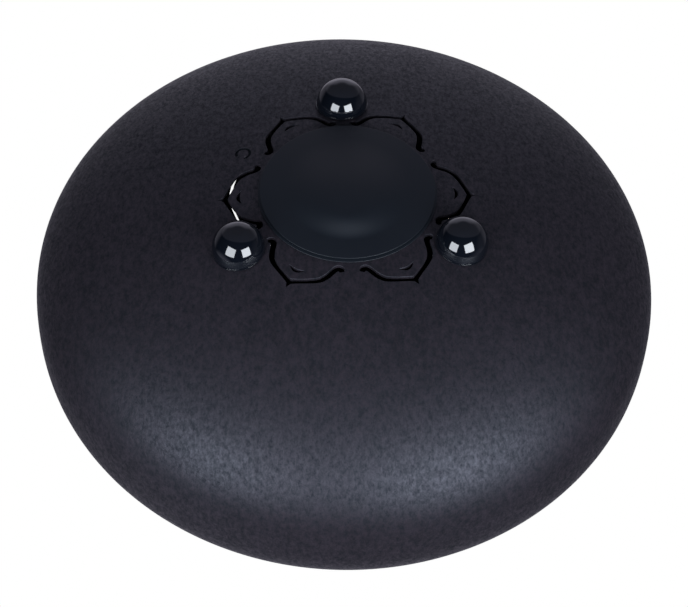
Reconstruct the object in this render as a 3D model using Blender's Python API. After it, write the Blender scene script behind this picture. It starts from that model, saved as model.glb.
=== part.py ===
"""Steel tongue drum: two pressed shells welded at the rim, three push-in feet and a centre pad.

Metres, +Z up. The drum stands on its feet on the plane z = 0, with its axis on the Z axis.
The tongues are cut in the top shell. The sound slots, a lotus of petals, are cut in the bottom shell.
"""
import math

import bmesh
import bpy
from mathutils import Matrix, Vector

# Shells: the outer profile is |r / DRUM_RADIUS| ** SIDE_POWER + |z / height| ** CROWN_POWER = 1,
# and a spherical cap of the same slope closes it over the crown.
DRUM_RADIUS = 0.150
BOTTOM_HEIGHT = 0.0754
TOP_HEIGHT = 0.0746
SIDE_POWER = 1.63
CROWN_POWER = 2.65
CAP_RADIUS = 0.024
WALL = 0.0018
SEAT_GAP = 0.0003

# Weld bead in the V-groove between the two rims, which leaves a land of the wall uncut
WELD_LAND = 0.0006
WELD_HALF_WIDTH = 0.0016
WELD_ROOT_HALF_WIDTH = 0.0003

# Centre pad and the adhesive in its recess
PAD_RADIUS = 0.0414
PAD_EDGE_HEIGHT = 0.0019
PAD_CROWN_HEIGHT = 0.0027
PAD_EDGE_FILLET = 0.0006
PAD_RIM_WIDTH = 0.0045
ADHESIVE_THICKNESS = 0.0006

# Feet: a dome on a thin base lip, a neck through the shell and a barb behind it
FOOT_COUNT = 3
FOOT_FIRST_ANGLE = math.radians(90)
FOOT_RADIUS = 0.0118
FOOT_SKIRT = 0.0017
FOOT_LIP_WIDTH = 0.0004
FOOT_LIP_HEIGHT = 0.0006
FOOT_TO_PAD = 0.0057
FOOT_FLAT_DEPTH = 0.0003
NECK_RADIUS = 0.0040
BARB_STEP = 0.0013
BARB_LENGTH = 0.0060
BARB_TIP_RADIUS = 0.0022

# Lotus of sound slots: each petal is one slot from hook to hook round its tip, with a crescent inside
PETAL_COUNT = 6
PETAL_HEIGHT = 0.0166
PETAL_SLOT_WIDTH = 0.0018
PETAL_SPIKE = 0.0012
CRESCENT_HEIGHT_SHARE = 0.60
CRESCENT_HALF_LENGTH = 0.0033
CRESCENT_THICKNESS = 0.0015
CRESCENT_BOW = 0.0014

# Half a petal from its hook to its tip: share of the half pitch, share of the petal's height, width share
PETAL_SHAPE = (
    (0.812, 0.31, 0.75),
    (0.792, 0.235, 1.15),
    (0.735, 0.205, 1.15),
    (0.672, 0.26, 1.05),
    (0.573, 0.46, 0.95),
    (0.460, 0.64, 0.95),
    (0.305, 0.77, 0.95),
    (0.130, 0.89, 1.05),
    (0.000, 1.00, 1.15),
)

# Tongues: each is free at its round outer end, and shorter as its note rises.
# The lowest lies in front of the player, on -Y, and the next ones to its right and left in turn.
TONGUE_STEPS = (0, 2, 4, 5, 7, 9, 11, 12, 14)
TONGUE_FIRST_ANGLE = math.radians(270)
TONGUE_SLOT_WIDTH = 0.0020
TONGUE_RIM_MARGIN = 0.0222
TONGUE_RING_WIDTH = 0.0115
TONGUE_END_RADIUS = 0.0224
TONGUE_TAPER = math.radians(6)
INNER_TONGUE_STEPS = (16, 17, 19)
INNER_TONGUE_FIRST_ANGLE = math.radians(90)
INNER_TONGUE_TIP_CIRCLE = 0.0505
INNER_TONGUE_ROOT_CIRCLE = 0.0110
INNER_TONGUE_END_RADIUS = 0.0135
INNER_TONGUE_TAPER = math.radians(5)
RELIEF_RADIUS = 0.0019

# Facets
SHELL_SEGMENTS = 60
SHELL_RINGS = 10
PAD_SEGMENTS = 48
PAD_RINGS = 3
FILLET_STEPS = 3
FOOT_SEGMENTS = 24
DOME_RINGS = 6
TONGUE_ARC_STEPS = 12
RELIEF_STEPS = 6
PETAL_CURVE_STEPS = 2
CRESCENT_STEPS = 3
HOLE_SEGMENTS = 20
WELD_DISTANCE = 1e-6


# Shell profile

def rim_curve(turn, height):
    """Radius, height and slope of the outer profile, from the crown at turn 0 to the rim at turn 1."""
    angle = turn * math.pi / 2
    radius = DRUM_RADIUS * math.sin(angle) ** (2 / SIDE_POWER)
    rise = height * max(math.cos(angle), 0.0) ** (2 / CROWN_POWER)
    across = SIDE_POWER / DRUM_RADIUS * (radius / DRUM_RADIUS) ** (SIDE_POWER - 1)
    along = CROWN_POWER / height * (rise / height) ** (CROWN_POWER - 1)
    return radius, rise, math.atan2(across, along)


def turn_at(radius):
    """The turn at which the profile has this radius."""
    return math.asin((radius / DRUM_RADIUS) ** (SIDE_POWER / 2)) / (math.pi / 2)


def profile_point(radius, height):
    """Height and slope of the outer profile at a radius, with the spherical cap over the crown."""
    if radius >= CAP_RADIUS:
        return rim_curve(turn_at(radius), height)[1:]
    edge_rise, edge_slope = rim_curve(turn_at(CAP_RADIUS), height)[1:]
    sphere = CAP_RADIUS / math.sin(edge_slope)
    slope = math.asin(radius / sphere)
    return edge_rise + sphere * (math.cos(slope) - math.cos(edge_slope)), slope


def offset_point(radius, height, distance):
    """The profile's point at a radius, moved outwards along its normal by a distance."""
    rise, slope = profile_point(radius, height)
    return radius + distance * math.sin(slope), rise + distance * math.cos(slope)


def shell_radii():
    """Radii of the shell's rings, from the crown out to the last ring before the weld groove."""
    return [rim_curve(i / SHELL_RINGS, TOP_HEIGHT)[0] for i in range(SHELL_RINGS)]


def rim_turn(height, rise):
    """The turn at which the profile is this high above the equator."""
    return math.acos((rise / height) ** (CROWN_POWER / 2)) / (math.pi / 2)


def shell_outline(height):
    """Closed half section of one shell, outer side from the crown to the rim and back along the inner side."""
    outer = [offset_point(radius, height, 0.0) for radius in shell_radii()]
    inner = [offset_point(radius, height, -WALL) for radius in shell_radii()]
    groove_radius = rim_curve(rim_turn(height, WELD_HALF_WIDTH), height)[0]
    root_radius = DRUM_RADIUS - WALL + WELD_LAND
    rim = [
        (groove_radius, WELD_HALF_WIDTH),
        (root_radius, WELD_ROOT_HALF_WIDTH),
        (DRUM_RADIUS - WALL, WELD_ROOT_HALF_WIDTH),
    ]
    return outer + rim + inner[::-1]


FOOT_CIRCLE = PAD_RADIUS + FOOT_TO_PAD + FOOT_RADIUS
FOOT_RISE, FOOT_SLOPE = profile_point(FOOT_CIRCLE, BOTTOM_HEIGHT)
FOOT_DROP = FOOT_SKIRT * math.cos(FOOT_SLOPE) + FOOT_RADIUS - FOOT_FLAT_DEPTH
EQUATOR_Z = FOOT_RISE + FOOT_DROP


# Meshes

def spun_mesh(name, outline, segments, closed):
    """Mesh turned from an outline of (radius, height) points about the Z axis."""
    mesh = bmesh.new()
    verts = [mesh.verts.new((radius, 0.0, rise)) for radius, rise in outline]
    edges = [mesh.edges.new(pair) for pair in zip(verts, verts[1:])]
    if closed:
        edges.append(mesh.edges.new((verts[-1], verts[0])))
    bmesh.ops.spin(
        mesh,
        geom=verts + edges,
        cent=(0, 0, 0),
        axis=(0, 0, 1),
        angle=2 * math.pi,
        steps=segments,
        use_merge=True,
    )
    bmesh.ops.remove_doubles(mesh, verts=mesh.verts, dist=WELD_DISTANCE)
    bmesh.ops.dissolve_degenerate(mesh, edges=mesh.edges, dist=WELD_DISTANCE)
    bmesh.ops.recalc_face_normals(mesh, faces=mesh.faces)
    return finished_mesh(name, mesh)


def prism_mesh(name, outlines, low, high):
    """Mesh of upright prisms, one over each closed outline of (x, y) points, from low to high."""
    mesh = bmesh.new()
    for outline in outlines:
        face = mesh.faces.new([mesh.verts.new((x, y, low)) for x, y in outline])
        grown = bmesh.ops.extrude_face_region(mesh, geom=[face])["geom"]
        top = [item for item in grown if isinstance(item, bmesh.types.BMVert)]
        bmesh.ops.translate(mesh, verts=top, vec=(0, 0, high - low))
    bmesh.ops.recalc_face_normals(mesh, faces=mesh.faces)
    return finished_mesh(name, mesh)


def finished_mesh(name, mesh):
    """Blender mesh made from a bmesh."""
    data = bpy.data.meshes.new(name)
    mesh.to_mesh(data)
    mesh.free()
    return data


def add_object(name, data, material=None):
    """Object in the scene with smooth shading and sharp edges where faces meet at over 30 degrees."""
    thing = bpy.data.objects.new(name, data)
    bpy.context.scene.collection.objects.link(thing)
    if material is not None:
        data.materials.clear()
        data.materials.append(material)
        data.shade_smooth()
        data.set_sharp_from_angle(angle=math.radians(30))
    return thing


def add_cutter(name, data, target):
    """Hidden object that a Boolean takes away from the target."""
    cutter = add_object(name, data)
    cutter.hide_render = True
    cutter.display_type = "WIRE"
    cut = target.modifiers.new(name, "BOOLEAN")
    cut.operation = "DIFFERENCE"
    cut.solver = "EXACT"
    cut.object = cutter
    return cutter


def even_shading(thing):
    """Shade each vertex by its largest faces, so that the long faces beside a cut stay smooth."""
    shading = thing.modifiers.new("even_shading", "WEIGHTED_NORMAL")
    shading.keep_sharp = True


def make_material(name, colour, roughness, metallic=0.0):
    """Principled material of one colour."""
    material = bpy.data.materials.new(name)
    material.use_nodes = True
    shader = material.node_tree.nodes["Principled BSDF"]
    shader.inputs["Base Color"].default_value = (*colour, 1.0)
    shader.inputs["Roughness"].default_value = roughness
    shader.inputs["Metallic"].default_value = metallic
    material.diffuse_color = (*colour, 1.0)
    return material


# Outlines of the slots

def turned(point, angle):
    """A point (x, y) turned about the drum's axis."""
    x, y = point
    return x * math.cos(angle) - y * math.sin(angle), x * math.sin(angle) + y * math.cos(angle)


def smooth_curve(points, steps):
    """Catmull-Rom curve through points of any dimension, with this many steps in each span."""
    ends = [points[0], *points, points[-1]]
    curve = []
    for before, start, end, after in zip(ends, ends[1:], ends[2:], ends[3:]):
        for step in range(steps):
            t = step / steps
            curve.append(tuple(
                0.5 * (2 * b + (c - a) * t + (2 * a - 5 * b + 4 * c - d) * t ** 2
                       + (3 * b - a - 3 * c + d) * t ** 3)
                for a, b, c, d in zip(before, start, end, after)
            ))
    curve.append(tuple(points[-1]))
    return curve


def normals_along(path):
    """Unit normals to the left of a path of (x, y) points."""
    normals = []
    for i in range(len(path)):
        back = path[max(i - 1, 0)]
        ahead = path[min(i + 1, len(path) - 1)]
        dx, dy = ahead[0] - back[0], ahead[1] - back[1]
        length = math.hypot(dx, dy)
        normals.append((-dy / length, dx / length))
    return normals


def petal_outline(angle):
    """Slot round one petal whose tip points along the angle, from hook to hook."""
    half_pitch = math.pi / PETAL_COUNT
    half = []
    for turn_share, height_share, width_share in PETAL_SHAPE:
        radius = PAD_RADIUS + height_share * PETAL_HEIGHT
        turn = turn_share * half_pitch
        half.append((radius * math.cos(turn), radius * math.sin(turn), width_share))
    half = smooth_curve(half, PETAL_CURVE_STEPS)
    path = half + [(x, -y, width) for x, y, width in half[-2::-1]]
    normals = normals_along(path)
    tip = len(half) - 1
    outer, inner = [], []
    for i, ((x, y, share), (nx, ny)) in enumerate(zip(path, normals)):
        width = share * PETAL_SLOT_WIDTH / 2
        outer.append((x + nx * width, y + ny * width))
        inner.append((x - nx * width, y - ny * width))
    outer[tip] = (outer[tip][0] + PETAL_SPIKE, 0.0)
    return [turned(point, angle) for point in outer + inner[::-1]]


def crescent_outline(angle):
    """Crescent slit across one petal, pointed at both ends and bowed towards the tip."""
    middle = PAD_RADIUS + CRESCENT_HEIGHT_SHARE * PETAL_HEIGHT
    outer, inner = [], []
    for i in range(-CRESCENT_STEPS, CRESCENT_STEPS + 1):
        share = i / CRESCENT_STEPS
        bow = CRESCENT_BOW * (1 - share ** 2)
        y = share * CRESCENT_HALF_LENGTH
        outer.append((middle - CRESCENT_BOW + bow + CRESCENT_THICKNESS / 2 * (1 - share ** 2), y))
        inner.append((middle - CRESCENT_BOW + bow - CRESCENT_THICKNESS / 2 * (1 - share ** 2), y))
    return [turned(point, angle) for point in outer + inner[-2:0:-1]]


def arc_points(centre, radius, start, end, steps):
    """Points along an arc, ends included."""
    points = []
    for step in range(steps + 1):
        turn = start + (end - start) * step / steps
        points.append((centre[0] + radius * math.cos(turn), centre[1] + radius * math.sin(turn)))
    return points


def tongue_outline(angle, tip_radius, root_radius, end_radius, taper):
    """Slot round one tongue: two sides that close towards the root, joined by the round free end."""
    centre = (tip_radius - end_radius, 0.0)
    side_turn = math.pi / 2 + taper
    half_slot = TONGUE_SLOT_WIDTH / 2
    start = (
        centre[0] + end_radius * math.cos(side_turn),
        end_radius * math.sin(side_turn),
    )
    side_length = (start[0] - root_radius) / math.cos(taper)
    root = (root_radius, start[1] - side_length * math.sin(taper))
    # The relief hole at the root opens to the slot over this half angle
    mouth = math.asin(half_slot / RELIEF_RADIUS)
    inward = math.pi + taper
    outer = arc_points(centre, end_radius + half_slot, -side_turn, side_turn, TONGUE_ARC_STEPS)
    inner = arc_points(centre, end_radius - half_slot, side_turn, -side_turn, TONGUE_ARC_STEPS)
    mouth_centre = inward + math.pi
    relief = arc_points(
        root, RELIEF_RADIUS, mouth_centre + mouth, mouth_centre + 2 * math.pi - mouth, RELIEF_STEPS
    )
    mirrored = [(x, -y) for x, y in relief[::-1]]
    return [turned(point, angle) for point in outer + relief + inner + mirrored]


def note_share(steps):
    """Length of a tongue as a share of its group's lowest: a bar's pitch goes as 1 / length ** 2."""
    return 2 ** (-steps / 24)


def places_round(count):
    """Turns round a circle for this many tongues: the first in the middle, the rest to each side in turn."""
    pitch = 2 * math.pi / count
    return [(-1) ** (i + 1) * ((i + 1) // 2) * pitch for i in range(count)]


def tongue_outlines():
    """Outlines of every tongue's slot."""
    outlines = []
    tip = DRUM_RADIUS - TONGUE_RIM_MARGIN
    longest = tip - INNER_TONGUE_TIP_CIRCLE - TONGUE_RING_WIDTH
    for steps, place in zip(TONGUE_STEPS, places_round(len(TONGUE_STEPS))):
        share = note_share(steps - TONGUE_STEPS[0])
        end_radius = TONGUE_END_RADIUS * math.sqrt(share)
        angle = TONGUE_FIRST_ANGLE + place
        outlines.append(tongue_outline(angle, tip, tip - longest * share, end_radius, TONGUE_TAPER))
    tip = INNER_TONGUE_TIP_CIRCLE
    longest = tip - INNER_TONGUE_ROOT_CIRCLE
    for steps, place in zip(INNER_TONGUE_STEPS, places_round(len(INNER_TONGUE_STEPS))):
        share = note_share(steps - INNER_TONGUE_STEPS[0])
        end_radius = INNER_TONGUE_END_RADIUS * math.sqrt(share)
        angle = INNER_TONGUE_FIRST_ANGLE + place
        outlines.append(tongue_outline(angle, tip, tip - longest * share, end_radius, INNER_TONGUE_TAPER))
    return outlines


# Pieces

def make_top_shell(material):
    """Upper dome with a slot round each tongue."""
    outline = [(radius, EQUATOR_Z + rise) for radius, rise in shell_outline(TOP_HEIGHT)]
    shell = add_object("top_shell", spun_mesh("top_shell", outline, SHELL_SEGMENTS, False), material)
    low = EQUATOR_Z + WELD_HALF_WIDTH
    slots = prism_mesh("tongue_slots", tongue_outlines(), low, low + TOP_HEIGHT)
    add_cutter("tongue_slots", slots, shell)
    even_shading(shell)


def foot_frames():
    """World frame of each foot: origin on the shell's skin, Z along its outward normal."""
    frames = []
    for i in range(FOOT_COUNT):
        turn = Matrix.Rotation(FOOT_FIRST_ANGLE + i * 2 * math.pi / FOOT_COUNT, 4, "Z")
        place = Matrix.Translation((FOOT_CIRCLE, 0, EQUATOR_Z - FOOT_RISE))
        tilt = Matrix.Rotation(math.pi - FOOT_SLOPE, 4, "Y")
        frames.append(turn @ place @ tilt)
    return frames


def make_bottom_shell(material):
    """Lower dome with the lotus of slots and the holes for the feet."""
    outline = [(radius, EQUATOR_Z - rise) for radius, rise in shell_outline(BOTTOM_HEIGHT)]
    shell = add_object("bottom_shell", spun_mesh("bottom_shell", outline, SHELL_SEGMENTS, False), material)
    outlines = []
    for i in range(PETAL_COUNT):
        angle = i * 2 * math.pi / PETAL_COUNT
        outlines.append(petal_outline(angle))
        outlines.append(crescent_outline(angle))
    high = EQUATOR_Z - WELD_HALF_WIDTH
    slots = prism_mesh("sound_slots", outlines, high - BOTTOM_HEIGHT, high)
    add_cutter("sound_slots", slots, shell)
    hole = spun_mesh(
        "foot_hole",
        [(0, -4 * WALL), (NECK_RADIUS, -4 * WALL), (NECK_RADIUS, 2 * WALL), (0, 2 * WALL)],
        HOLE_SEGMENTS,
        False,
    )
    for i, frame in enumerate(foot_frames()):
        cutter = add_cutter(f"foot_hole_{i + 1}", hole, shell)
        cutter.matrix_world = frame
    even_shading(shell)


def make_weld(material):
    """Weld bead that fills the groove between the two rims, flush with the shells."""
    top = rim_curve(rim_turn(TOP_HEIGHT, WELD_HALF_WIDTH), TOP_HEIGHT)[0]
    low = rim_curve(rim_turn(BOTTOM_HEIGHT, WELD_HALF_WIDTH), BOTTOM_HEIGHT)[0]
    # The bead stands clear of each groove face by the seat gap, measured along the drum's axis
    depth = WALL - WELD_LAND
    groove_turn = math.atan2(WELD_HALF_WIDTH - WELD_ROOT_HALF_WIDTH, depth)
    clear = SEAT_GAP / math.cos(groove_turn)
    face = WELD_HALF_WIDTH - clear
    root = DRUM_RADIUS - depth + clear
    outline = [
        (low, EQUATOR_Z - face),
        (DRUM_RADIUS, EQUATOR_Z),
        (top, EQUATOR_Z + face),
        (root, EQUATOR_Z + WELD_ROOT_HALF_WIDTH / 2),
        (root, EQUATOR_Z - WELD_ROOT_HALF_WIDTH / 2),
    ]
    add_object("equator_weld", spun_mesh("equator_weld", outline, SHELL_SEGMENTS, True), material)


def pad_skin(radius, distance):
    """Point of a surface that lies under the bottom shell's skin at a distance."""
    out, rise = offset_point(radius, BOTTOM_HEIGHT, distance)
    return radius, EQUATOR_Z - rise


def make_pad(material):
    """Domed rubber pad with a rounded edge and a recess for its adhesive."""
    recess = PAD_RADIUS - PAD_RIM_WIDTH
    recess_height = 2 * SEAT_GAP + ADHESIVE_THICKNESS
    outline = []
    for i in range(PAD_RINGS + 1):
        radius = recess * i / PAD_RINGS
        outline.append(pad_skin(radius, recess_height))
    outline.append(pad_skin(recess, SEAT_GAP))
    outline.append(pad_skin(PAD_RADIUS, SEAT_GAP))
    flat_radius = PAD_RADIUS - PAD_EDGE_FILLET
    edge_radius, edge_z = pad_skin(PAD_RADIUS, PAD_EDGE_HEIGHT)
    fillet = []
    for i in range(FILLET_STEPS + 1):
        turn = math.pi / 2 * i / FILLET_STEPS
        fillet.append((
            flat_radius + PAD_EDGE_FILLET * math.cos(turn),
            edge_z + PAD_EDGE_FILLET * (1 - math.sin(turn)),
        ))
    outline.extend(fillet)
    for i in range(PAD_RINGS - 1, -1, -1):
        radius = flat_radius * i / PAD_RINGS
        height = PAD_EDGE_HEIGHT + (PAD_CROWN_HEIGHT - PAD_EDGE_HEIGHT) * (1 - (i / PAD_RINGS) ** 2)
        outline.append(pad_skin(radius, height))
    add_object("centre_pad", spun_mesh("centre_pad", outline, PAD_SEGMENTS, False), material)


def make_adhesive(material):
    """Round of adhesive between the pad's recess and the shell."""
    radius = PAD_RADIUS - PAD_RIM_WIDTH - SEAT_GAP
    low = [pad_skin(radius * i / PAD_RINGS, SEAT_GAP) for i in range(PAD_RINGS + 1)]
    high = [pad_skin(radius * i / PAD_RINGS, SEAT_GAP + ADHESIVE_THICKNESS) for i in range(PAD_RINGS + 1)]
    mesh = spun_mesh("pad_adhesive", low + high[::-1], PAD_SEGMENTS, False)
    add_object("pad_adhesive", mesh, material)


def foot_mesh():
    """Foot about its own axis, with the flat that it stands on."""
    neck = NECK_RADIUS - SEAT_GAP
    inner_face = -WALL - SEAT_GAP
    lip = FOOT_RADIUS + FOOT_LIP_WIDTH
    outline = [
        (0.0, inner_face - BARB_LENGTH),
        (BARB_TIP_RADIUS, inner_face - BARB_LENGTH),
        (NECK_RADIUS + BARB_STEP, inner_face - BARB_STEP),
        (NECK_RADIUS + BARB_STEP, inner_face),
        (neck, inner_face),
        (neck, SEAT_GAP),
        (lip, SEAT_GAP),
        (lip, SEAT_GAP + FOOT_LIP_HEIGHT),
        (FOOT_RADIUS, SEAT_GAP + FOOT_LIP_HEIGHT),
    ]
    outline += [
        (FOOT_RADIUS * math.cos(turn), FOOT_SKIRT + FOOT_RADIUS * math.sin(turn))
        for turn in (math.pi / 2 * i / DOME_RINGS for i in range(DOME_RINGS))
    ]
    outline.append((0.0, FOOT_SKIRT + FOOT_RADIUS))
    data = spun_mesh("foot", outline, FOOT_SEGMENTS, False)
    # World down as the tilted foot sees it
    down = Vector((math.sin(FOOT_SLOPE), 0, math.cos(FOOT_SLOPE)))
    sole = Vector((0, 0, FOOT_SKIRT)) + down * (FOOT_RADIUS - FOOT_FLAT_DEPTH)
    mesh = bmesh.new()
    mesh.from_mesh(data)
    cut = bmesh.ops.bisect_plane(
        mesh,
        geom=mesh.verts[:] + mesh.edges[:] + mesh.faces[:],
        plane_co=sole,
        plane_no=down,
        clear_outer=True,
    )
    border = [item for item in cut["geom_cut"] if isinstance(item, bmesh.types.BMEdge)]
    bmesh.ops.edgeloop_fill(mesh, edges=border)
    bmesh.ops.recalc_face_normals(mesh, faces=mesh.faces)
    mesh.to_mesh(data)
    mesh.free()
    return data


def make_feet(material):
    """Three feet that share one mesh, each square to the shell at its hole."""
    data = foot_mesh()
    for i, frame in enumerate(foot_frames()):
        foot = add_object(f"foot_{i + 1}", data, material)
        foot.matrix_world = frame


def build():
    """The whole drum."""
    for thing in list(bpy.data.objects):
        bpy.data.objects.remove(thing)
    coated_steel = make_material("coated_steel", (0.034, 0.033, 0.041), 0.42, 0.55)
    pad_rubber = make_material("pad_rubber", (0.012, 0.016, 0.024), 0.38)
    foot_rubber = make_material("foot_rubber", (0.008, 0.011, 0.016), 0.12)
    adhesive = make_material("adhesive", (0.55, 0.53, 0.48), 0.6)
    make_top_shell(coated_steel)
    make_bottom_shell(coated_steel)
    make_weld(coated_steel)
    make_pad(pad_rubber)
    make_adhesive(adhesive)
    make_feet(foot_rubber)


build()
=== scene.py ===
# %% [markdown]
# A steel tongue drum, seen from below: two pressed shells with a satin powder coat, a lotus of sound
# slots, three glossy rubber feet and a domed rubber pad. The solids come from the frame, which also
# gives every size that is measured on them. This script makes the fine surfaces and the finishes.

# %% Load the frame
import math

import bmesh
import bpy
from mathutils import Matrix, Vector, geometry, kdtree


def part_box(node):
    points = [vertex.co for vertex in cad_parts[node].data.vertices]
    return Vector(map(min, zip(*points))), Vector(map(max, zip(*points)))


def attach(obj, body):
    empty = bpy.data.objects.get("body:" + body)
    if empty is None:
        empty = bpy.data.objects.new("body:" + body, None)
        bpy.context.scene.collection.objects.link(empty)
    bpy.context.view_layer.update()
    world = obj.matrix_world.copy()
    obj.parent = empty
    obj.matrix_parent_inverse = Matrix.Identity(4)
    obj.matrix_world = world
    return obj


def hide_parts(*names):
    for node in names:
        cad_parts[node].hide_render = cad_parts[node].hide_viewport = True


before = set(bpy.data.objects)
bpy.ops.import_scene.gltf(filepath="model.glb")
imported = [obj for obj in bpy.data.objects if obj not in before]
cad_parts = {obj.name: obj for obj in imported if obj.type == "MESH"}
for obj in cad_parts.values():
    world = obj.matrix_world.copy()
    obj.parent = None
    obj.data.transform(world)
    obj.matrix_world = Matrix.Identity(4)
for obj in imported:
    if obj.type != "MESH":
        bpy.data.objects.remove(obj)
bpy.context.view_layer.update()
print("solids", sorted(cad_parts))

# %% [markdown]
# The photograph shows the drum upside down. Its camera looks up at the underside of the standing drum,
# from in front and below. Its place was worked out from the drum's outline, which is a true circle, and
# from the three feet. The picture's measures are kept here as named pixels of its 688 x 607 frame.

# %% Camera
IMAGE_WIDTH = 688
IMAGE_HEIGHT = 607
FOCAL_PIXELS = 2120
EQUATOR_PIXEL = (344.3, 288.8)
SENSOR_WIDTH = 36.0
CAMERA_DISTANCE = 1.0436
CAMERA_ELEVATION = math.radians(51.62)
CAMERA_ROLL = math.radians(1.93)
PATTERN_TURN = math.radians(4.10)

top_low = Vector(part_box("top_shell")[0])
bottom_low, bottom_high = (Vector(corner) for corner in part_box("bottom_shell"))
EQUATOR_Z = (top_low.z + bottom_high.z) / 2
DRUM_RADIUS = (bottom_high.x - bottom_low.x) / 2


def from_photo(vector):
    """A direction of the photograph (x right, y away, z up, drum upside down) in the drum's own frame."""
    turned = Matrix.Rotation(-PATTERN_TURN, 3, "Z") @ Vector(vector)
    return Vector((-turned.x, turned.y, -turned.z))


def placed(name, data):
    """A new object of the scene that holds this data."""
    thing = bpy.data.objects.new(name, data)
    bpy.context.scene.collection.objects.link(thing)
    return thing


def add_camera():
    """Camera at the photograph's place, rolled so that the underside's far side is up."""
    back = Vector((0, -math.cos(CAMERA_ELEVATION), math.sin(CAMERA_ELEVATION)))
    up = Vector((0, math.sin(CAMERA_ELEVATION), math.cos(CAMERA_ELEVATION)))
    right = Vector((1, 0, 0))
    rolled_right = math.cos(CAMERA_ROLL) * right + math.sin(CAMERA_ROLL) * up
    rolled_up = math.cos(CAMERA_ROLL) * up - math.sin(CAMERA_ROLL) * right
    axes = [from_photo(vector) for vector in (rolled_right, rolled_up, back)]
    place = Vector((0, 0, EQUATOR_Z)) + axes[2] * CAMERA_DISTANCE
    data = bpy.data.cameras.new("camera")
    data.sensor_width = SENSOR_WIDTH
    data.lens = FOCAL_PIXELS * SENSOR_WIDTH / IMAGE_WIDTH
    data.shift_x = (IMAGE_WIDTH / 2 - EQUATOR_PIXEL[0]) / IMAGE_WIDTH
    data.shift_y = (EQUATOR_PIXEL[1] - IMAGE_HEIGHT / 2) / IMAGE_WIDTH
    camera = placed("camera", data)
    turn = Matrix(axes).transposed()
    camera.matrix_world = Matrix.Translation(place) @ turn.to_4x4()
    bpy.context.scene.camera = camera
    return camera


camera = add_camera()
print("camera at", [round(value, 3) for value in camera.matrix_world.translation])

# %% [markdown]
# Materials and Geometry Nodes are both trees of nodes. A small class wraps an output socket and turns
# Python arithmetic into Math nodes, so that a formula reads as a formula. Every node is made by one
# function, which takes the node's type, its settings and what goes into its sockets.

# %% Node helpers
def over(operation, reflected=False):
    """A method that adds a Math node over an output and another value, in this order or reflected."""
    def method(self, other):
        pair = (other, self) if reflected else (self, other)
        return self.math(operation, *pair)
    return method


class Flow:
    """An output socket of a tree; arithmetic on it adds Math nodes to that tree."""

    def __init__(self, tree, socket):
        self.tree = tree
        self.socket = socket

    def math(self, operation, *values):
        """A Math node over the values."""
        return add_node(self.tree, "ShaderNodeMath", {"operation": operation}, dict(enumerate(values)))

    __add__ = over("ADD")
    __radd__ = over("ADD", reflected=True)
    __sub__ = over("SUBTRACT")
    __rsub__ = over("SUBTRACT", reflected=True)
    __mul__ = over("MULTIPLY")
    __rmul__ = over("MULTIPLY", reflected=True)
    __truediv__ = over("DIVIDE")
    __rtruediv__ = over("DIVIDE", reflected=True)
    __pow__ = over("POWER")
    __gt__ = over("GREATER_THAN")
    at_least = over("MAXIMUM")
    at_most = over("MINIMUM")

    def root(self):
        """Square root."""
        return self.math("SQRT", self)

    def clamped(self):
        """This, kept between 0 and 1."""
        return self.at_least(0.0).at_most(1.0)

    def eased(self, low, high):
        """Eases in and out from 0 at one value of this to 1 at another."""
        return smooth(((self - low) / (high - low)).clamped())


def add_node(tree, kind, settings=None, sockets=None, out=0):
    """A node with its settings made first and its sockets then set or linked, as a Flow from an output."""
    node = tree.nodes.new(kind)
    for name, value in (settings or {}).items():
        setattr(node, name, value)
    for name, value in (sockets or {}).items():
        if isinstance(value, Flow):
            tree.links.new(value.socket, node.inputs[name])
        else:
            node.inputs[name].default_value = value
    return Flow(tree, node.outputs[out]) if node.outputs else node


def parts_of(tree, vector):
    """X, Y and Z of a vector."""
    node = add_node(tree, "ShaderNodeSeparateXYZ", None, {0: vector}).socket.node
    return [Flow(tree, node.outputs[axis]) for axis in "XYZ"]


def joined(tree, x=0.0, y=0.0, z=0.0):
    """A vector of its X, Y and Z."""
    return add_node(tree, "ShaderNodeCombineXYZ", None, {"X": x, "Y": y, "Z": z})


def smooth(share):
    """Eases a share, a number or a Flow, in and out between 0 and 1."""
    return share * share * (3 - 2 * share)


def polar(radius, angle):
    """The point (x, y) at a radius and an angle."""
    return radius * math.cos(angle), radius * math.sin(angle)


# %% [markdown]
# The shells carry a satin powder coat in anthracite. Powder flows out in the oven into a finely pebbled
# skin, in which some specks are darker, duller or glossier than others. So one noise of many sizes drives
# the colour, the roughness, a fine bump and a clear layer that comes and goes, and two wider noises let
# the colour drift. An image of the skin would need a UV map and blur close up, where noises stay crisp. A
# small open ring beside the lotus is filled with dull black paint: the photograph's plain mark.

# %% Powder coat
SPECKLE_STRETCH = (1.3, 0.85, 0.85)
SPECKLE_SCALE = 420.0
SPECKLE_DETAIL = 3.0
SPECKLE_CRISPNESS = 0.9
SPECKLE_DEPTH = 0.00015
MOTTLE_SCALE = 210.0
DRIFT_SCALE = 22.0
SPECKLE_SHADE = 2.6
MOTTLE_SHADE = 1.2
DRIFT_SHADE = 0.4
SHADE_LEVEL = (SPECKLE_SHADE + MOTTLE_SHADE + DRIFT_SHADE - 1) / 2
COAT_DARK = (0.0034, 0.0026, 0.0040, 1)
COAT_LIGHT = (0.0192, 0.0149, 0.0223, 1)
COAT_TINT = (0.60, 0.735, 1, 1)
COAT_SHINE = 0.57
COAT_ROUGHNESS = 0.90
SPECKLE_GLOSS = 0.7
DRIFT_ROUGHNESS = 0.06
CLEAR_LAYER = 0.20
CLEAR_ROUGHNESS = 0.54
PAINT_BLACK = (0.0004, 0.0004, 0.0005, 1)
PAINT_ROUGHNESS = 0.35
MARK_CIRCLE = 0.0559
MARK_ANGLE = math.radians(30.5)
MARK_RADIUS = 0.00385
MARK_LINE = 0.0013
MARK_GAP_ANGLE = math.radians(300)
MARK_GAP = math.radians(70)
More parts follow.
